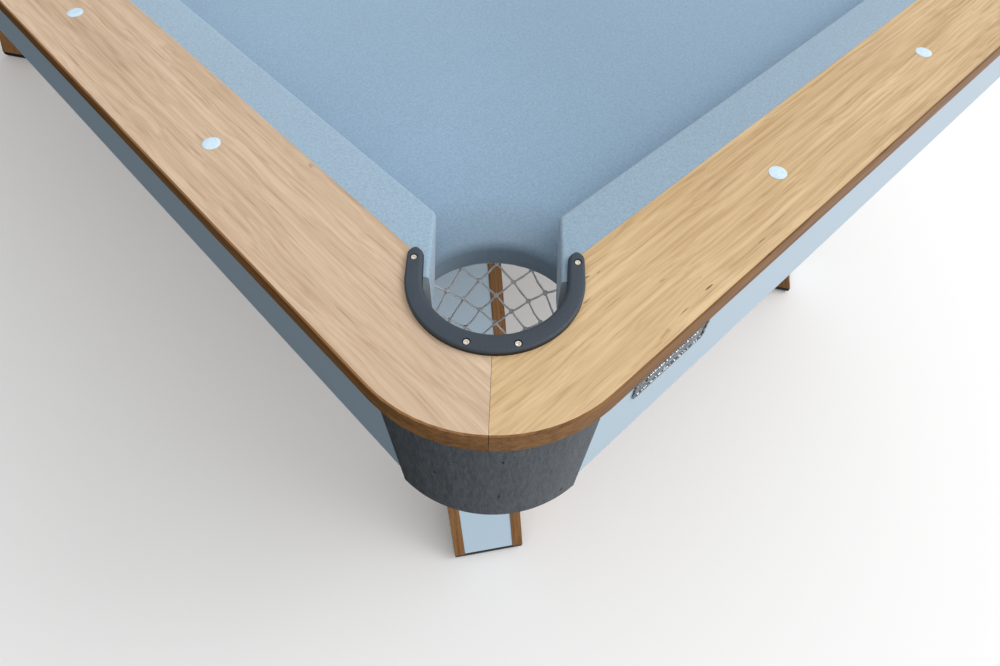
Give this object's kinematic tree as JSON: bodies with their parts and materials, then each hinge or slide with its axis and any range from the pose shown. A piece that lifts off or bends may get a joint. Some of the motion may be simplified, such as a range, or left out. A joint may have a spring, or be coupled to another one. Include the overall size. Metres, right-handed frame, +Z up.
{
  "type": "pool table",
  "caption": "Pool table with oak-look rails, felt bed and cushions, drop pockets with string nets, white aprons, slate-look corners and splayed box legs on levelling feet.",
  "frame": {"origin": "on the floor under the middle of the table", "axes": "+X across the table to its right side, +Y along it to the back end, +Z up"},
  "size_m": [1.126, 2.11, 0.7545],
  "materials": {
    "oak_laminate": "matt light oak print with open grain",
    "oak_edge": "satin darker oak edging",
    "board_core": "raw fibreboard",
    "frame_wood": "planed softwood",
    "bed_felt": "short napped felt",
    "cushion_felt": "felt over rubber",
    "liner_black": "grained moulding",
    "net_cord": "knotted cord",
    "zinc_steel": "zinc plated wire",
    "black_plastic": "moulded",
    "screw_steel": "bright",
    "pearl_sight": "pearl",
    "white_laminate": "satin laminate",
    "slate_laminate": "slate print with vertical streaks",
    "plate_metal": "pressed metal",
    "foot_rubber": "moulded"
  },
  "bodies": {
    "table": {"apron_back": "white_laminate", "apron_front": "white_laminate", "apron_left": "white_laminate", "apron_right": "white_laminate", "bed_board": "board_core", "bed_cloth": "bed_felt", "corner_block_back_left": "slate_laminate", "corner_block_back_right": "slate_laminate", "corner_block_front_left": "slate_laminate", "corner_block_front_right": "slate_laminate", "cushion_back": "cushion_felt", "cushion_front": "cushion_felt", "cushion_left_back": "cushion_felt", "cushion_left_front": "cushion_felt", "cushion_right_back": "cushion_felt", "cushion_right_front": "cushion_felt", "frame_cross_beams": "frame_wood", "frame_long_beams": "frame_wood", "leg_base_blocks": "frame_wood", "leg_mount_plates": "board_core", "leg_panels_back_left": "white_laminate", "leg_panels_back_right": "white_laminate", "leg_panels_front_left": "white_laminate", "leg_panels_front_right": "white_laminate", "leg_sides_back_left": "oak_edge", "leg_sides_back_right": "oak_edge", "leg_sides_front_left": "oak_edge", "leg_sides_front_right": "oak_edge", "leg_top_blocks": "frame_wood", "liner_screws": "screw_steel", "nameplate": "plate_metal", "net_clips": "black_plastic", "net_rings": "zinc_steel", "pocket_liner_back_left": "liner_black", "pocket_liner_back_right": "liner_black", "pocket_liner_front_left": "liner_black", "pocket_liner_front_right": "liner_black", "pocket_liner_side_left": "liner_black", "pocket_liner_side_right": "liner_black", "pocket_net_back_left": "net_cord", "pocket_net_back_right": "net_cord", "pocket_net_front_left": "net_cord", "pocket_net_front_right": "net_cord", "pocket_net_side_left": "net_cord", "pocket_net_side_right": "net_cord", "rail_edge_bands": "oak_edge", "rail_top_back": "oak_laminate", "rail_top_front": "oak_laminate", "rail_top_left_back": "oak_laminate", "rail_top_left_front": "oak_laminate", "rail_top_right_back": "oak_laminate", "rail_top_right_front": "oak_laminate", "sights": "pearl_sight", "sub_rails_end": "board_core", "sub_rails_long": "board_core"},
    "foot_front_left": {"levelling_foot_front_left": "foot_rubber"},
    "foot_front_right": {"levelling_foot_front_right": "foot_rubber"},
    "foot_back_left": {"levelling_foot_back_left": "foot_rubber"},
    "foot_back_right": {"levelling_foot_back_right": "foot_rubber"}
  },
  "joints": [
    {"name": "foot_screw_front_left", "type": "slide", "parent": "table", "child": "foot_front_left", "axis": [0, 0, -1], "range_m": [0, 0.012]},
    {"name": "foot_screw_front_right", "type": "slide", "parent": "table", "child": "foot_front_right", "axis": [0, 0, -1], "range_m": [0, 0.012]},
    {"name": "foot_screw_back_left", "type": "slide", "parent": "table", "child": "foot_back_left", "axis": [0, 0, -1], "range_m": [0, 0.012]},
    {"name": "foot_screw_back_right", "type": "slide", "parent": "table", "child": "foot_back_right", "axis": [0, 0, -1], "range_m": [0, 0.012]}
  ]
}
